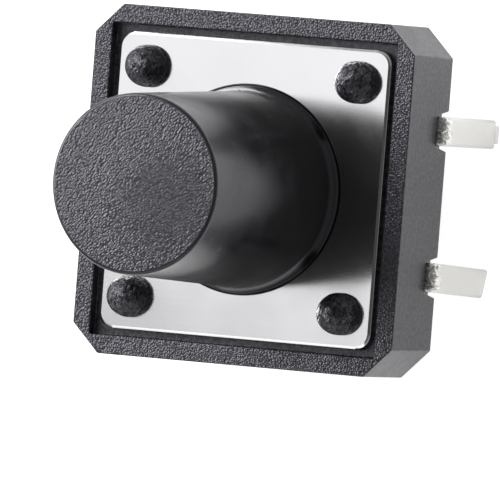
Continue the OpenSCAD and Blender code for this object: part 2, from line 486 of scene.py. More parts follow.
def rectangle(low: Point, high: Point) -> list[Point]:
    """Return the corners of a rectangle, counter-clockwise, from its lowest and highest corner."""
    return [low, (high[0], low[1]), high, (low[0], high[1])]


def prism(name: str, outlines: list[list[Point]], low: float, high: float) -> Object:
    """Extrude outlines that lie apart from one another along Z.

    Args:
        name: Name of the new object.
        outlines: Corners of each outline, counter-clockwise.
        low: Height of the lower faces.
        high: Height of the upper faces.

    Returns:
        One mesh object with a closed prism for each outline.
    """
    bm = bmesh.new()
    for outline in outlines:
        lower, upper = ([bm.verts.new((x, y, z)) for x, y in outline] for z in (low, high))
        bm.faces.new(lower[::-1])
        bm.faces.new(upper)
        for i in range(len(outline)):
            j = (i + 1) % len(outline)
            bm.faces.new((lower[i], lower[j], upper[j], upper[i]))
    return from_bmesh(name, bm)


def lathe(name: str, profile: list[Point], count: int) -> Object:
    """Turn a profile about Z into a closed body.

    Args:
        name: Name of the new object.
        profile: Radius and height of each point, from the axis round to the axis.
        count: Number of steps round the axis.

    Returns:
        The turned mesh object.
    """
    bm = bmesh.new()
    points = [bm.verts.new((r, 0, z)) for r, z in profile]
    edges = [bm.edges.new(pair) for pair in zip(points, points[1:])]
    bmesh.ops.spin(
        bm,
        geom=points + edges,
        axis=(0, 0, 1),
        cent=(0, 0, 0),
        angle=math.tau,
        steps=count,
        use_merge=True,
    )
    bmesh.ops.remove_doubles(bm, verts=bm.verts[:], dist=WELD)
    bmesh.ops.recalc_face_normals(bm, faces=bm.faces[:])
    return from_bmesh(name, bm)


def combine(target: Object, tools: list[Object], operation: str) -> None:
    """Cut or fuse other solids into a solid, and delete them.

    Args:
        target: Solid that is changed.
        tools: Solids that are used up.
        operation: DIFFERENCE or UNION.
    """
    for tool in tools:
        modifier = target.modifiers.new(tool.name, "BOOLEAN")
        modifier.operation = operation
        modifier.solver = "EXACT"
        modifier.object = tool
    settle(target)
    for tool in tools:
        bpy.data.objects.remove(tool)


def join(name: str, parts: list[Object]) -> Object:
    """Put several meshes into one object without materials, and delete the parts."""
    bm = bmesh.new()
    for part in parts:
        bm.from_mesh(part.data)
        bpy.data.objects.remove(part)
    return from_bmesh(name, bm)


def soften(obj: Object, width: float, segments: int = 3, angle: float = 35.0) -> None:
    """Round the sharp edges of a mesh.

    Args:
        obj: Mesh object.
        width: Width of the rounding.
        segments: Faces across it.
        angle: Angle in degrees above which an edge is rounded.
    """
    modifier = obj.modifiers.new("soften", "BEVEL")
    modifier.width = width
    modifier.segments = segments
    modifier.limit_method = "ANGLE"
    modifier.angle_limit = math.radians(angle)
    modifier.miter_outer = "MITER_ARC"
    obj.modifiers.new("weld", "WELD").merge_threshold = WELD
    settle(obj)


def place(obj: Object, body: str, slot: str, node: str = "", sharp: float = 40.0) -> Object:
    """Scale a finished mesh to metres, shade it and put it on its body.

    Args:
        obj: Mesh object in millimetres, with its materials.
        body: CAD body that it rides on.
        slot: The record's material slot of the piece; not used.
        node: CAD node that it stands for, if any.
        sharp: Angle in degrees above which an edge stays sharp.

    Returns:
        The same object.
    """
    obj.data.transform(Matrix.Scale(MM, 4))
    obj.data.shade_smooth()
    obj.data.set_sharp_from_angle(angle=math.radians(sharp))
    obj.modifiers.new("flat_faces_stay_flat", "WEIGHTED_NORMAL").keep_sharp = True
    settle(obj)
    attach(obj, body)
    if node:
        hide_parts(node)
    LOG.info("%s: %d faces on body %s", obj.name, len(obj.data.polygons), body)
    return obj


class Recipe(Graph):
    """A Geometry Nodes tree with named inputs, and the growing of a mesh from it."""

    def __init__(self, name: str, inputs: dict[str, Any]) -> None:
        """Start a tree.

        Args:
            name: Name of the tree and of the mesh that it grows.
            inputs: Value of each named input: a float, an int or a material.
        """
        super().__init__(bpy.data.node_groups.new(name, "GeometryNodeTree"))
        kinds = {float: "NodeSocketFloat", int: "NodeSocketInt"}
        self.name = name
        self.values = inputs
        for key, value in inputs.items():
            kind = kinds.get(type(value), "NodeSocketMaterial")
            self.tree.interface.new_socket(key, in_out="INPUT", socket_type=kind)
        self.tree.interface.new_socket("Mesh", in_out="OUTPUT", socket_type="NodeSocketGeometry")
        self.source = self.node("NodeGroupInput")

    def given(self, name: str) -> NodeSocket:
        """Return the socket of a named input."""
        return self.source.outputs[name]

    def vector(self, x: Any = 0.0, y: Any = 0.0, z: Any = 0.0) -> NodeSocket:
        """Return a vector made of three numbers or sockets."""
        return self.add("ShaderNodeCombineXYZ", {"X": x, "Y": y, "Z": z})

    def position(self) -> list[NodeSocket]:
        """Return the X, Y and Z of each point."""
        here = self.add("GeometryNodeInputPosition")
        return self.node("ShaderNodeSeparateXYZ", {0: here}).outputs[:]

    def moved(self, geometry: NodeSocket, position: NodeSocket) -> NodeSocket:
        """Return a geometry with its points in new places."""
        return self.add("GeometryNodeSetPosition", {"Geometry": geometry, "Position": position})

    def lifted(self, geometry: NodeSocket, height: NodeSocket) -> NodeSocket:
        """Return a geometry raised by a height."""
        shift = {"Geometry": geometry, "Translation": self.vector(z=height)}
        return self.add("GeometryNodeTransform", shift)

    def joined(self, *parts: NodeSocket) -> NodeSocket:
        """Return several geometries as one."""
        whole = self.node("GeometryNodeJoinGeometry")
        for part in parts:
            self.tree.links.new(part, whole.inputs[0])
        return whole.outputs[0]

    def corners(self, spacing: NodeSocket) -> NodeSocket:
        """Return the four corners of a square as points."""
        sides = {"Size X": spacing, "Size Y": spacing, "Vertices X": 2, "Vertices Y": 2}
        return self.add("GeometryNodeMeshGrid", sides)

    def copied(self, points: NodeSocket, instance: NodeSocket, **turn: NodeSocket) -> NodeSocket:
        """Return a real copy of a geometry on each point."""
        inputs = {"Points": points, "Instance": instance, **turn}
        copies = self.add("GeometryNodeInstanceOnPoints", inputs)
        return self.add("GeometryNodeRealizeInstances", {"Geometry": copies})

    def ring(self, radius: NodeSocket, count: int) -> NodeSocket:
        """Return a circle as a curve."""
        size = {"Resolution": count, "Radius": radius}
        return self.add("GeometryNodeCurvePrimitiveCircle", size)

    def filleted(self, curve: NodeSocket, radius: Any, count: int) -> NodeSocket:
        """Return a curve with its corners rounded."""
        rounding = {"Curve": curve, "Radius": radius, "Count": count}
        return self.add("GeometryNodeFilletCurve", rounding, mode="POLY")

    def oblong(self, width: Any, height: Any, radius: Any, count: int) -> NodeSocket:
        """Return a rectangle with rounded corners as a curve.

        Args:
            width: Its size along X.
            height: Its size along Y.
            radius: Radius of its corners.
            count: Steps round each corner.

        Returns:
            The curve output.
        """
        sides = {"Width": width, "Height": height}
        flat = self.add("GeometryNodeCurvePrimitiveQuadrilateral", sides)
        return self.filleted(flat, radius, count)

    def thickened(self, sheet: NodeSocket, thickness: NodeSocket) -> NodeSocket:
        """Turn an open sheet into a closed solid above it.

        Args:
            sheet: Mesh output of the sheet, with its normals up.
            thickness: Distance along Z between the two faces.

        Returns:
            The mesh output of the solid.
        """
        rise = {"Mesh": sheet, "Offset": self.vector(z=thickness), "Individual": False}
        raised = self.add("GeometryNodeExtrudeMesh", rise)
        under = self.add("GeometryNodeFlipFaces", {"Mesh": sheet})
        both = self.joined(raised, under)
        return self.add("GeometryNodeMergeByDistance", {"Geometry": both})

    def grow(self, geometry: NodeSocket) -> Object:
        """End the tree and return the plain mesh object that it makes.

        Args:
            geometry: Output socket with the whole geometry.

        Returns:
            A mesh object without modifiers.
        """
        real = self.add("GeometryNodeRealizeInstances", {"Geometry": geometry})
        dressing = {"Geometry": real, "Material": self.given("Material")}
        dressed = self.add("GeometryNodeSetMaterial", dressing)
        self.node("NodeGroupOutput", {"Mesh": dressed})
        carrier = add_object(self.name, bpy.data.meshes.new(self.name))
        modifier = carrier.modifiers.new(self.name, "NODES")
        modifier.node_group = self.tree
        for item in self.tree.interface.items_tree:
            if item.in_out == "INPUT":
                modifier[item.identifier] = self.values[item.name]
        settle(carrier)
        # Set Material leaves an empty slot in front of its own
        carrier.data.materials.clear()
        carrier.data.materials.append(self.values["Material"])
        for face in carrier.data.polygons:
            face.material_index = 0
        return carrier


# The switch


@dataclass(frozen=True)
class Span:
    """Lowest and highest corner of a CAD node in millimetres."""

    low: Vector
    high: Vector

    @classmethod
    def of(cls, node: str) -> "Span":
        """Read the box of a CAD node from the frame."""
        low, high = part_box(node)
        return cls(low / MM, high / MM)

    @property
    def width(self) -> float:
        """Size along X."""
        return self.high.x - self.low.x


@dataclass
class Housing:
    """Black moulding with a chamfered outline, a pocket for the plate and a switch chamber.

    Attributes:
        side: Width across the flats.
        rim_top: Height of the rim.
        deck: Height of the face that carries the plate.
        flange: Diameter of the plunger's flange, which the chamber takes in.
    """

    side: float
    rim_top: float
    deck: float
    flange: float
    corner_leg: float = 1.0
    rim_width: float = 0.65
    chamber_gap: float = 0.2
    floor: float = 1.0
    notch_depth: float = 0.25
    notch_top: float = 0.94
    notch_half: float = 0.52
    notch_flare: float = 0.18
    core_hole: float = 1.0
    core_inset: float = 1.5
    core_depth: float = 0.6
    ejector: float = 1.6
    ejector_depth: float = 0.05
    ejector_at: float = 3.94
    edge: float = 0.045

    def outline(self) -> list[Point]:
        """Return the chamfered square, counter-clockwise."""
        half = self.side / 2
        near = half - self.corner_leg
        right = [(half, -near), (half, near), (near, half), (-near, half)]
        return right + [(-x, -y) for x, y in right]

    def notches(self) -> list[Object]:
        """Return the spaces under the strips where the pins leave the sides, right and left."""
        top = self.notch_half
        low = top + self.notch_flare
        section = [(-low, -PROUD), (low, -PROUD), (top, self.notch_top), (-top, self.notch_top)]
        rows = [[(y + row, z) for y, z in section] for row in (-PIN_ROW, PIN_ROW)]
        inside = self.side / 2 - self.notch_depth
        outside = self.side / 2 + PROUD
        made = [
            prism("notches_right", rows, inside, outside),
            prism("notches_left", rows, -outside, -inside),
        ]
        for pair in made:
            # The prism's own X, Y and Z become the frame's Y, Z and X
            pair.data.transform(Matrix(((0, 0, 1, 0), (1, 0, 0, 0), (0, 1, 0, 0), (0, 0, 0, 1))))
        return made

    def build(self) -> Object:
        """Mould the housing and return its piece."""
        body = prism("housing_moulding", [self.outline()], 0.0, self.rim_top)
        pocket = self.side / 2 - self.rim_width
        above = self.rim_top + PROUD
        core_x = self.side / 2 - self.core_inset
        corners = [(x, y) for x in (-1, 1) for y in (-1, 1)]
        cores = [circle(self.core_hole / 2, 32, (x * core_x, y * PIN_ROW)) for x, y in corners]
        tools = [
            prism("pocket", [rectangle((-pocket, -pocket), (pocket, pocket))], self.deck, above),
            prism("chamber", [circle(self.flange / 2 + self.chamber_gap, 160)], self.floor, above),
            *self.notches(),
            prism("core_holes", cores, -PROUD, self.core_depth),
        ]
        combine(body, tools, "DIFFERENCE")
        soften(body, self.edge)
        at = self.ejector_at
        marks = [circle(self.ejector / 2, 48, (x * at, y * at)) for x, y in corners]
        combine(body, [prism("ejectors", marks, -PROUD, self.ejector_depth)], "DIFFERENCE")
        body.data.materials.append(ERODED_NYLON.material())
        body.data.materials.append(PLAIN_NYLON.material())
        for face in body.data.polygons:
            on_top = face.normal.z > 0.5 and face.center.z > self.deck + self.edge
            face.material_index = 0 if on_top else 1
        return place(body, "base", "housing_plastic", "housing")


@dataclass
class PostHeads:
    """The four posts of the housing, melted into domed heads that hold the plate.

    Attributes:
        deck: Height of the face that the posts stand on.
        plate_top: Height of the plate's face.
        top: Height of the heads' crowns.
        spacing: Distance between the posts along X and along Y.
    """

    deck: float
    plate_top: float
    top: float
    spacing: float
    head: float = 1.46
    post: float = 1.1
    lump: float = 0.035
    lump_size: float = 0.55
    seed: int = 7

    def build(self) -> Object:
        """Grow the four heads and return their piece."""
        radius = self.head / 2
        recipe = Recipe(
            "post_heads",
            {
                "Head radius": radius,
                "Neck height": self.top - self.plate_top - radius,
                "Post radius": self.post / 2,
                "Post length": self.plate_top - self.deck,
                "Plate height": self.plate_top,
                "Spacing": self.spacing,
                "Lump height": self.lump,
                "Lumps per millimetre": 1 / self.lump_size,
                "Seed": self.seed,
                "Material": MELTED_NYLON.material(),
            },
        )
        given = recipe.given
        raised = recipe.sum_of(given("Plate height"), given("Neck height"))
        points = recipe.lifted(recipe.corners(given("Spacing")), raised)
        turn = recipe.add(
            "FunctionNodeRandomValue",
            {"Min": (0, 0, 0), "Max": (0, 0, math.tau), "Seed": given("Seed")},
            data_type="FLOAT_VECTOR",
        )
        heads = recipe.copied(points, self.head_and_post(recipe), Rotation=turn)
        lumps = {"Geometry": heads, "Offset": self.lumps(recipe)}
        lumpy = recipe.add("GeometryNodeSetPosition", lumps)
        return place(recipe.grow(lumpy), "base", "housing_plastic")

    def head_and_post(self, recipe: Recipe) -> NodeSocket:
        """Return one domed head over its post, with the ball's centre at the origin."""
        length = recipe.given("Post length")
        ball_size = {"Segments": 64, "Rings": 40, "Radius": recipe.given("Head radius")}
        ball = recipe.add("GeometryNodeMeshUVSphere", ball_size)
        x, y, z = recipe.position()
        under = recipe.sum_of(0.0, recipe.given("Neck height"), "SUBTRACT")
        head = recipe.moved(ball, recipe.vector(x, y, recipe.sum_of(z, under, "MAXIMUM")))
        shank_size = {"Vertices": 32, "Radius": recipe.given("Post radius"), "Depth": length}
        shank = recipe.add("GeometryNodeMeshCylinder", shank_size)
        middle = recipe.sum_of(under, recipe.sum_of(length, 0.5, "MULTIPLY"), "SUBTRACT")
        return recipe.joined(head, recipe.lifted(shank, middle))

    def lumps(self, recipe: Recipe) -> NodeSocket:
        """Return how far each point is pushed in or out along its normal."""
        seed, size = recipe.given("Seed"), recipe.given("Lumps per millimetre")
        inputs = {"W": seed, "Scale": size, "Detail": 1.0}
        bumps = recipe.add("ShaderNodeTexNoise", inputs, noise_dimensions="4D")
        swing = recipe.sum_of(recipe.sum_of(bumps, 0.5, "SUBTRACT"), 2.0, "MULTIPLY")
        rise = recipe.sum_of(swing, recipe.given("Lump height"), "MULTIPLY")
        return recipe.scaled(recipe.add("GeometryNodeInputNormal"), rise)


@dataclass
class CoverPlate:
    """Square of bright stainless sheet with a hole for the stem and one for each post.

    Attributes:
        side: Width of the sheet.
        bottom: Height of its lower face.
        top: Height of its upper face.
        post_spacing: Distance between the post holes along X and along Y.
    """

    side: float
    bottom: float
    top: float
    post_spacing: float
    stem_hole: float = 7.14
    corner: float = 0.55
    post_hole: float = 1.2
    rolled: float = 0.1
    dragged: float = 0.054
    punched: float = 0.03
    soft: float = 0.02

    def build(self) -> Object:
        """Punch the plate out of its sheet and return its piece."""
        recipe = Recipe(
            "cover_sheet",
            {
                "Side": self.side,
                "Corner radius": self.corner,
                "Stem hole radius": self.stem_hole / 2,
                "Post hole radius": self.post_hole / 2,
                "Post spacing": self.post_spacing,
                "Lower face": self.bottom,
                "Thickness": self.top - self.bottom,
                "Material": BRIGHT_STAINLESS.material(),
            },
        )
        given = recipe.given
        border = recipe.oblong(given("Side"), given("Side"), given("Corner radius"), 12)
        stem_hole = recipe.ring(given("Stem hole radius"), 160)
        post_hole = recipe.ring(given("Post hole radius"), 40)
        holes = recipe.copied(recipe.corners(given("Post spacing")), post_hole)
        curves = recipe.joined(border, stem_hole, holes)
        sheet = recipe.add("GeometryNodeFillCurve", {"Curve": curves}, mode="NGONS")
        solid = recipe.thickened(sheet, given("Thickness"))
        plate = recipe.grow(recipe.lifted(solid, given("Lower face")))
        self.roll_edges(plate)
        return place(plate, "base", "plate_steel", "cover_plate", sharp=20.0)

    def roll_edges(self, plate: Object) -> None:
        """Slope the upper border as the punch drags it down, and break the edges of the holes.

        Args:
            plate: Mesh object of the plain sheet.
        """
        bm = bmesh.new()
        bm.from_mesh(plate.data)
        border, holes = [], []
        for edge in bm.edges:
            middle = (edge.verts[0].co + edge.verts[1].co) / 2
            if middle.z > self.top - LEVEL and edge.calc_face_angle(0.0) > 1:
                outside = max(abs(middle.x), abs(middle.y)) > self.side / 2 - self.corner
                (border if outside else holes).append(edge)
        for edges, reach, drop in (
            (border, self.rolled, self.dragged),
            (holes, self.punched, self.punched),
        ):
            made = bmesh.ops.bevel(
                bm,
                geom=edges,
                offset=reach,
                offset_type="OFFSET",
                segments=1,
                affect="EDGES",
                material=-1,
            )
            for vert in made["verts"]:
                if vert.co.z < self.top - LEVEL:
                    vert.co.z = self.top - drop
        bm.to_mesh(plate.data)
        bm.free()
        soften(plate, self.soft, 2, angle=40.0)


@dataclass
class Plunger:
    """Black button: a tapered round stem on a flange, with a nub below that presses the dome.

    Attributes:
        top: Height of the end face.
        bottom: Height of the nub's end.
        flange: Diameter of the flange.
        flange_top: Height of the flange's upper face.
        collar_top: Height of the edge of the collar in the plate's hole.
    """

    top: float
    bottom: float
    flange: float
    flange_top: float
    collar_top: float
    collar: float = 7.08
    nub_height: float = 0.28
    nub: float = 1.8
    foot: float = 6.7
    end: float = 6.12
    flare: float = 0.8
    edge: float = 0.13
    soft: float = 0.04

    def profile(self) -> list[Point]:
        """Return the half section, from the nub's centre round to the end face's centre."""
        nub, flange, foot, end = (d / 2 for d in (self.nub, self.flange, self.foot, self.end))
        soft, flare, edge, collar = self.soft, self.flare, self.edge, self.collar / 2
        spread = math.degrees(math.acos((flare - collar + foot) / flare))
        flare_top = self.collar_top + flare * math.sin(math.radians(spread))
        flange_low = self.bottom + self.nub_height
        return [
            (0.0, self.bottom),
            *arc((nub - soft, self.bottom + soft), soft, -90, 0, 3),
            (nub, flange_low),
            *arc((flange - soft, flange_low + soft), soft, -90, 0, 3),
            *arc((flange - soft, self.flange_top - soft), soft, 0, 90, 3),
            (collar, self.flange_top),
            (collar, self.collar_top),
            *arc((foot + flare, flare_top), flare, 180 + spread, 180, 12)[1:],
            *arc((end - edge, self.top - edge), edge, 0, 90, 8),
            (0.0, self.top),
        ]

    def build(self) -> Object:
        """Turn the plunger and return its piece."""
        plunger = lathe("plunger_moulding", self.profile(), 256)
        zones = (
            (self.top - LEVEL, ETCHED_ACETAL),
            (self.top - self.edge, ROUNDED_ACETAL),
            (self.flange_top, DRAWN_ACETAL),
            (0.0, ERODED_NYLON),
        )
        for _, finish in zones:
            plunger.data.materials.append(finish.material())
        for face in plunger.data.polygons:
            above = (face.center.z > low for low, _ in zones)
            face.material_index = list(above).index(True)
        return place(plunger, "button", "plunger_plastic", "plunger")


@dataclass
class SnapDome:
    """Domed spring disc between the plunger and the contacts.

    Attributes:
        span: Diameter of the disc.
        seat: Height of its rim.
        crown: Height of its crown's upper face.
        travel: Distance that the plunger pushes it down; not used.
    """

    span: float
    seat: float
    crown: float
    travel: float
    sheet: float = 0.08

    def build(self) -> Object:
        """Press the disc into a dome and return its piece."""
        recipe = Recipe(
            "spring_disc",
            {
                "Radius": self.span / 2,
                "Rise": self.crown - self.seat - self.sheet,
                "Seat height": self.seat,
                "Sheet": self.sheet,
                "Material": SPRING_STAINLESS.material(),
            },
        )
        radius = recipe.given("Radius")
        sizes = {"Radius Top": 0.0, "Radius Bottom": radius, "Depth": 1.0}
        steps = {"Vertices": 96, "Side Segments": 24}
        cone = recipe.add("GeometryNodeMeshCone", {**steps, **sizes}, fill_type="NONE")
        x, y, _ = recipe.position()
        reach = recipe.node("ShaderNodeVectorMath", {0: recipe.vector(x, y)}, operation="LENGTH")
        share = recipe.sum_of(reach.outputs["Value"], radius, "DIVIDE")
        drop = recipe.sum_of(1.0, recipe.sum_of(share, 2.0, "POWER"), "SUBTRACT")
        rise = recipe.sum_of(drop, recipe.given("Rise"), "MULTIPLY")
        height = recipe.sum_of(rise, recipe.given("Seat height"))
        dome = recipe.moved(cone, recipe.vector(x, y, height))
        solid = recipe.thickened(dome, recipe.given("Sheet"))
        disc = place(recipe.grow(solid), "base", "spring_steel", "snap_dome")
        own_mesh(disc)
        return disc


class PinEnd(Enum):
    """How a pin was cut off: punched to a narrower tongue, or sheared at a slant."""

    TONGUE = "tongue"
    SHEARED = "sheared"


@dataclass
class Pin:
    """One pin: the end of a strip, the bend beside the housing, and the leg.

    Attributes:
        row: Place of the pin along Y.
        turned: Angle about Z of the side that it leaves by, in degrees.
        end: How its end was cut.
        lean: Angle by which its leg leans, in degrees.
    """

    row: float
    turned: float = 0.0
    end: PinEnd = PinEnd.TONGUE
    lean: float = 0.0
    leg_x: float = 6.25
    root_x: float = 5.4
    sheet: float = 0.3
    sheet_low: float = 0.6
    reach: float = 3.45
    width: float = 1.0
    bend: float = 0.1
    coined: float = 0.12
    tongue_width: float = 0.63
    tongue: float = 0.3
    overlap: float = 0.1
    slant: float = 18.0
    cut_zone: float = 0.01
    hinge_drop: float = 0.25
    edge: float = 0.03

    def build(self, name: str) -> Object:
        """Sweep the strip's section along the pin.

        Args:
            name: Name of the new object.

        Returns:
            The pin in its place.
        """
        has_tongue = self.end is PinEnd.TONGUE
        cut = {"Slope of the cut": math.tan(math.radians(self.slant))}
        recipe = Recipe(
            name,
            {
                "Root": self.root_x,
                "Leg": self.leg_x,
                "Strip height": self.sheet_low + self.sheet / 2,
                "Shoulder": self.tongue - self.reach if has_tongue else -self.reach,
                "Sheet": self.sheet,
                "Width": self.width,
                "Bend radius": self.bend + self.sheet / 2,
                "Coined radius": self.coined,
                **({"Reach": self.reach, "Tongue width": self.tongue_width} if has_tongue else cut),
                "Lean": math.radians(-self.lean),
                "Turn": math.radians(self.turned),
                "Row": self.row,
                "Material": MATT_TIN.material(),
            },
        )
        given = recipe.given
        path = recipe.filleted(self.path(recipe), given("Bend radius"), 10)
        leg = self.sweep(recipe, path, given("Width"), given("Sheet"), given("Coined radius"))
        if has_tongue:
            leg = recipe.joined(leg, self.tongue_of(recipe))
        else:
            leg = self.sheared(recipe, leg)
        hinge = recipe.sum_of(given("Strip height"), self.hinge_drop, "SUBTRACT")
        leaning = recipe.add(
            "ShaderNodeVectorRotate",
            {
                "Vector": recipe.add("GeometryNodeInputPosition"),
                "Center": recipe.vector(z=hinge),
                "Axis": (1, 0, 0),
                "Angle": given("Lean"),
            },
            rotation_type="AXIS_ANGLE",
        )
        turn = recipe.add("FunctionNodeEulerToRotation", {0: recipe.vector(z=given("Turn"))})
        turned = recipe.add(
            "GeometryNodeTransform",
            {
                "Geometry": recipe.moved(leg, leaning),
                "Translation": recipe.vector(y=given("Row")),
                "Rotation": turn,
            },
        )
        pin = recipe.grow(turned)
        soften(pin, self.edge, 2)
        return pin

    def path(self, recipe: Recipe) -> NodeSocket:
        """Return the line from the strip over the bend's corner and down to the leg's end."""
        given = recipe.given
        corners = (("Root", "Strip height"), ("Leg", "Strip height"), ("Leg", "Shoulder"))
        chooser = recipe.node("GeometryNodeIndexSwitch", data_type="VECTOR")
        chooser.index_switch_items.new()
        recipe.tree.links.new(recipe.add("GeometryNodeInputIndex"), chooser.inputs["Index"])
        for socket, (x, z) in zip(chooser.inputs[1:], corners):
            recipe.tree.links.new(recipe.vector(given(x), 0.0, given(z)), socket)
        line = recipe.add("GeometryNodeMeshLine", {"Count": len(corners)})
        bent = recipe.moved(line, chooser.outputs[0])
        return recipe.add("GeometryNodeMeshToCurve", {"Mesh": bent})

    def sweep(
        self, recipe: Recipe, path: NodeSocket, width: Any, height: Any, radius: Any
    ) -> NodeSocket:
        """Sweep a rectangle with rounded corners along a path.

        Args:
            recipe: Tree that gets the nodes.
            path: Curve output.
            width: Size of the section along the path's normal.
            height: Its size across that.
            radius: Radius of its corners.

        Returns:
            The mesh output.
        """
        section = recipe.oblong(width, height, radius, 5)
        inputs = {"Curve": path, "Profile Curve": section, "Fill Caps": True}
        return recipe.add("GeometryNodeCurveToMesh", inputs)

    def tongue_of(self, recipe: Recipe) -> NodeSocket:
        """Return the narrow tongue that runs on from the leg's shoulder."""
        given = recipe.given
        start = recipe.sum_of(given("Shoulder"), self.overlap)
        tip = recipe.sum_of(0.0, given("Reach"), "SUBTRACT")
        ends = {
            "Start": recipe.vector(given("Leg"), 0.0, start),
            "End": recipe.vector(given("Leg"), 0.0, tip),
        }
        path = recipe.add("GeometryNodeCurvePrimitiveLine", ends)
        return self.sweep(recipe, path, given("Sheet"), given("Tongue width"), self.edge)

    def sheared(self, recipe: Recipe, leg: NodeSocket) -> NodeSocket:
        """Return the leg with its lowest ring slanted, as a shear leaves it."""
        _, y, z = recipe.position()
        limit = recipe.sum_of(recipe.given("Shoulder"), self.cut_zone)
        side = recipe.sum_of(self.width / 2, y, "SUBTRACT")
        rise = recipe.sum_of(side, recipe.given("Slope of the cut"), "MULTIPLY")
        return recipe.add(
            "GeometryNodeSetPosition",
            {
                "Geometry": leg,
                "Selection": recipe.sum_of(z, limit, "LESS_THAN"),
                "Offset": recipe.vector(z=rise),
            },
        )


@dataclass
class Terminal:
    """One stamping: a strip across the switch, its two pins and its contact.

    Attributes:
        node: CAD node that it stands for.
        row: Place of the strip along Y.
        pins: The two pins.
        ring: Radius of the C-shaped contact, or 0 for a contact at the centre.
    """

    node: str
    row: float
    pins: list[Pin]
    ring: float
    width: float = 1.0
    low: float = 0.6
    sheet: float = 0.3
    strip_reach: float = 5.6
    ring_width: float = 0.9
    wrap: float = 20.0
    boss: float = 0.8
    boss_top: float = 1.1
    centre_boss: float = 1.6
    centre_top: float = 1.28
    soft: float = 0.03

    def blank(self) -> Object:
        """Return the flat stamping inside the housing."""
        high = self.low + self.sheet
        half, reach = self.width / 2, self.strip_reach
        strip = rectangle((-reach, self.row - half), (reach, self.row + half))
        if self.ring:
            outlines = {"ring": self.ring_outline()}
        else:
            outlines = {
                "tongue": rectangle((-half, self.row), (half, 0.0)),
                "eye": circle(self.centre_boss / 2, 64),
            }
        sheet = prism("strip", [strip], self.low, high)
        parts = [prism(name, [outline], self.low, high) for name, outline in outlines.items()]
        combine(sheet, parts, "UNION")
        return sheet

    def on_ring(self, angle: float) -> Point:
        """Return the place on the ring's middle line at an angle in degrees."""
        at = math.radians(angle)
        return (self.ring * math.cos(at), self.ring * math.sin(at))

    def ring_outline(self) -> list[Point]:
        """Return the C-shaped contact with round ends, filled in above the strip."""
        round_end = self.ring_width / 2
        outer = self.ring + round_end
        inner = self.ring - round_end
        start, end = -self.wrap, 180 + self.wrap
        level = math.degrees(math.asin((self.row + self.width / 4) / inner))
        return [
            *arc((0.0, 0.0), outer, start, end, 120),
            *arc(self.on_ring(end), round_end, end, end + 180, 12)[1:-1],
            *arc((0.0, 0.0), inner, end, 180 - level, 24),
            *arc((0.0, 0.0), inner, level, start, 24),
            *arc(self.on_ring(start), round_end, start + 180, start + 360, 12)[1:-1],
        ]

    def contacts(self) -> list[Object]:
        """Return the bosses that stand through the chamber's floor."""
        if not self.ring:
            return [self.stud("centre_contact", self.centre_boss, self.centre_top, (0, 0))]
        return [
            self.stud(f"contact_{angle:.0f}", self.boss, self.boss_top, self.on_ring(angle))
            for angle in (90, 180 + self.wrap, -self.wrap)
        ]

    def stud(self, name: str, across: float, top: float, centre: Point) -> Object:
        """Return one round boss with a soft upper edge.

        Args:
            name: Name of the new object.
            across: Diameter of the boss.
            top: Height of its face.
            centre: Its place in plan.

        Returns:
            The boss.
        """
        soft, radius = self.soft, across / 2
        low = self.low + self.sheet - soft
        edge = arc((radius - soft, top - soft), soft, 0, 90, 4)
        made = lathe(name, [(0.0, low), (radius, low), *edge, (0.0, top)], 48)
        made.data.transform(Matrix.Translation((*centre, 0.0)))
        return made

    def build(self) -> Object:
        """Stamp, bend and plate the terminal and return its piece."""
        pins = [pin.build(f"{self.node}_pin_{i}") for i, pin in enumerate(self.pins)]
        stamping = join(f"{self.node}_stamping", [self.blank(), *self.contacts(), *pins])
        stamping.data.materials.append(MATT_TIN.material())
        return place(stamping, "base", "tin_plate", self.node)


# The studio


@dataclass(frozen=True)
class PhotoCamera:
    """Camera of the photograph, fitted to the corners of the housing.

    Attributes:
        place: Where it stands, in millimetres.
        right: Direction of the picture's right, in the frame's axes.
        up: Direction of the picture's top.
        back: Direction from the switch to the camera.
        lens: Focal length in millimetres.
        picture: Width of the picture in the camera, in millimetres.
        clip: Nearest and farthest distance that it shows, in metres.
    """

    place: tuple[float, float, float] = (198.626, 5.986, 436.601)
    right: tuple[float, float, float] = (0.90607, 0.07827, -0.41582)
    up: tuple[float, float, float] = (-0.07783, 0.9968, 0.01805)
    back: tuple[float, float, float] = (0.4159, 0.01601, 0.90927)
    lens: float = 1008.0
    picture: float = 36.0
    clip: Point = (0.01, 5.0)

    def build(self) -> None:
        """Set up the camera and make it the scene's."""
        data = bpy.data.cameras.new("photo_camera")
        data.lens = self.lens
        data.sensor_width = self.picture
        data.clip_start, data.clip_end = self.clip
        camera = bpy.data.objects.new("photo_camera", data)
        turn = Matrix((self.right, self.up, self.back)).transposed().to_4x4()
        camera.matrix_world = Matrix.Translation(Vector(self.place) * MM) @ turn
        bpy.context.scene.collection.objects.link(camera)
        bpy.context.scene.camera = camera


@dataclass(frozen=True)
class Softbox:
    """A flat lamp that faces the switch.

    Attributes:
        name: Name of the lamp.
        towards: Direction from the switch to the lamp.
        width: Its size across, level with the floor, in millimetres.
        height: Its size along the slope that it hangs at, in millimetres.
        glow: Brightness of its face, where 1 shows as white.
        distance: Distance in millimetres.
    """

    name: str
    towards: tuple[float, float, float]
    width: float
    height: float
    glow: float
    distance: float = 300.0

    def build(self) -> None:
        """Hang the lamp."""
        data = bpy.data.lights.new(self.name, "AREA")
        data.shape = "RECTANGLE"
        data.size = self.width * MM
        data.size_y = self.height * MM
        data.energy = self.glow * math.pi * data.size * data.size_y
        lamp = bpy.data.objects.new(self.name, data)
        direction = Vector(self.towards).normalized()
        lamp.location = direction * self.distance * MM
        lamp.rotation_euler = direction.to_track_quat("Z", "Y").to_euler()
        bpy.context.scene.collection.objects.link(lamp)


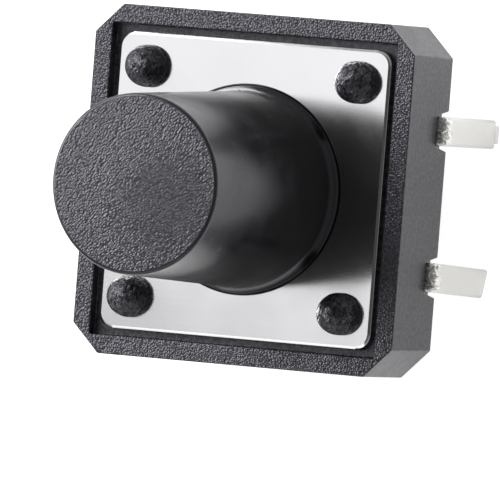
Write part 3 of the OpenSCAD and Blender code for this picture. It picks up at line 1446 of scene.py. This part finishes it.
@dataclass(frozen=True)
class Studio:
    """White floor, soft lamps and the surroundings that they leave.

    Attributes:
        floor: Height of the floor in millimetres.
        floor_side: Width of the floor in millimetres.
        floor_sheet: Thickness of the floor in millimetres.
        floor_glow: Share of white that the floor shows the camera by itself.
        gloss_glow: Share of white that it shows in gloss.
        ambient: Brightness of the surroundings that light the switch.
        wall_glow: Brightness that the walls of the room show in gloss.
        wall_top: Heights in degrees between which the walls fade out.
    """

    floor: float
    floor_side: float = 700.0
    floor_sheet: float = 5.0
    floor_glow: float = 0.92
    gloss_glow: float = 0.8
    ambient: float = 0.07
    wall_glow: float = 0.4
    wall_top: Point = (30.0, 52.0)

    def build(self) -> None:
        """Set up the floor, the world and the lamps."""
        half = self.floor_side / 2
        outline = rectangle((-half, -half), (half, half))
        floor = prism("floor", [outline], self.floor - self.floor_sheet, self.floor)
        floor.data.transform(Matrix.Scale(MM, 4))
        floor.data.materials.append(self.floor_material())
        self.surroundings()
        for lamp in (
            Softbox("overhead_card", (-0.42, 0.163, 0.9), width=122.0, height=240.0, glow=1.16),
            Softbox("key_softbox", (-0.8, 0.15, 0.6), width=150.0, height=150.0, glow=9.0),
            Softbox("back_softbox", (-0.55, 0.64, 0.6), width=100.0, height=170.0, glow=8.0),
            Softbox("front_card", (-0.1, -0.72, 0.6), width=280.0, height=150.0, glow=1.1),
        ):
            lamp.build()

    def floor_material(self) -> Material:
        """White card that also shows white in itself, so that it keeps only a faint shadow."""
        material = bpy.data.materials.new("white_card")
        material.use_nodes = True
        graph = Graph(material.node_tree)
        card = graph.add("ShaderNodeBsdfDiffuse", {"Color": linear("#ececec"), "Roughness": 0.8})
        rays = graph.node("ShaderNodeLightPath").outputs
        glow = graph.sum_of(rays["Is Camera Ray"], self.floor_glow, "MULTIPLY")
        for ray in ("Is Glossy Ray", "Is Transmission Ray"):
            glow = graph.sum_of(graph.sum_of(rays[ray], self.gloss_glow, "MULTIPLY"), glow)
        shine = graph.add("ShaderNodeEmission", {"Strength": glow})
        both = graph.add("ShaderNodeAddShader", {0: card, 1: shine})
        graph.node("ShaderNodeOutputMaterial", {"Surface": both})
        return material

    def surroundings(self) -> None:
        """Dim room with pale walls in gloss, which the camera sees as white."""
        world = bpy.data.worlds.new("studio")
        world.use_nodes = True
        graph = Graph(world.node_tree)
        rays = graph.node("ShaderNodeLightPath").outputs
        direction = graph.node("ShaderNodeTexCoord").outputs["Generated"]
        slope = graph.node("ShaderNodeSeparateXYZ", {0: direction}).outputs["Z"]
        low, high = (math.sin(math.radians(angle)) for angle in self.wall_top)
        walls = graph.ramp(slope, (low, high), (self.wall_glow, self.ambient))
        room = graph.add("ShaderNodeMix", {0: rays["Is Glossy Ray"], 2: self.ambient, 3: walls})
        strength = graph.ramp(rays["Is Camera Ray"], (0.0, 1.0), (room, 1.0))
        air = graph.add("ShaderNodeBackground", {"Color": (1, 1, 1, 1), "Strength": strength})
        graph.node("ShaderNodeOutputWorld", {"Surface": air})
        bpy.context.scene.world = world


def main() -> None:
    """Load the frame, build the switch piece by piece, and light it."""
    logging.basicConfig(level=logging.INFO, format="%(message)s")
    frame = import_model()
    bpy.context.scene.view_settings.view_transform = "Standard"

    shell, plate = Span.of("housing"), Span.of("cover_plate")
    plunger, dome = Span.of("plunger"), Span.of("snap_dome")
    outer = Span.of("terminal_outer")
    travel = frame["joints"][0]["range_m"][1] / MM

    # Distances in millimetres that the boxes of the CAD nodes don't give
    post_inset = 1.16
    rim_rise = 0.1
    collar_rise = 0.05
    running_gap = 0.02
    ring_inset = 0.2
    spacing = plate.width - 2 * post_inset

    PhotoCamera().build()
    Studio(floor=outer.low.z).build()
    Housing(
        side=shell.width,
        rim_top=plate.high.z + rim_rise,
        deck=plate.low.z,
        flange=plunger.width,
    ).build()
    PostHeads(
        deck=plate.low.z, plate_top=plate.high.z, top=shell.high.z, spacing=spacing
    ).build()
    CoverPlate(
        side=plate.width, bottom=plate.low.z, top=plate.high.z, post_spacing=spacing
    ).build()
    Plunger(
        top=plunger.high.z,
        bottom=plunger.low.z,
        flange=plunger.width,
        flange_top=plate.low.z - running_gap,
        collar_top=plate.high.z + collar_rise,
    ).build()
    SnapDome(span=dome.width, seat=dome.low.z, crown=dome.high.z, travel=travel).build()
    Terminal(
        node="terminal_outer",
        row=PIN_ROW,
        pins=[Pin(PIN_ROW), Pin(PIN_ROW, turned=180)],
        ring=dome.width / 2 - ring_inset,
    ).build()
    sheared = Pin(-PIN_ROW, end=PinEnd.SHEARED, lean=2.0, reach=3.445)
    Terminal(
        node="terminal_centre",
        row=-PIN_ROW,
        pins=[sheared, Pin(-PIN_ROW, turned=180)],
        ring=0.0,
    ).build()


if __name__ == "__main__":
    main()
